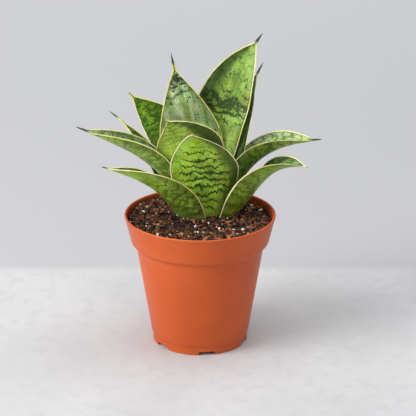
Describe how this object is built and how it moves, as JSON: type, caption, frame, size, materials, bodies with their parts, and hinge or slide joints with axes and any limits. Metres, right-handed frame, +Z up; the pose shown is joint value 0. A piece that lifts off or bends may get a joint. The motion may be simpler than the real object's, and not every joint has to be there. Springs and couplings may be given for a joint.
{
  "type": "potted snake plant",
  "caption": "Compact snake plant with broad, pointed, banded leaves in a tapered round nursery pot with a deep rim collar.",
  "frame": {"origin": "middle of the pot's foot, on the surface that the pot stands on", "axes": "+Z up, -Y towards the side the plant is seen from, +X to that viewer's right"},
  "size_m": [0.1955, 0.1223, 0.24],
  "materials": {
    "terracotta_plastic": "satin moulded",
    "potting_mix": "loose bark, peat and perlite",
    "rhizome_skin": "matte, fleshy",
    "root_skin": "matte, fleshy",
    "leaf_skin": "waxy, banded green with pale margins"
  },
  "bodies": {
    "root": {"pot": "terracotta_plastic", "soil": "potting_mix", "rhizome": "rhizome_skin", "root_front": "root_skin", "root_left": "root_skin", "root_right": "root_skin", "root_back": "root_skin", "root_middle": "root_skin", "leaf_front_left": "leaf_skin", "leaf_front_right": "leaf_skin", "leaf_far_left": "leaf_skin", "leaf_front": "leaf_skin", "leaf_left": "leaf_skin", "leaf_right": "leaf_skin", "leaf_back_left": "leaf_skin", "leaf_back_right": "leaf_skin", "leaf_middle": "leaf_skin", "leaf_tall": "leaf_skin", "leaf_upper_left": "leaf_skin", "leaf_young": "leaf_skin"}
  },
  "joints": []
}
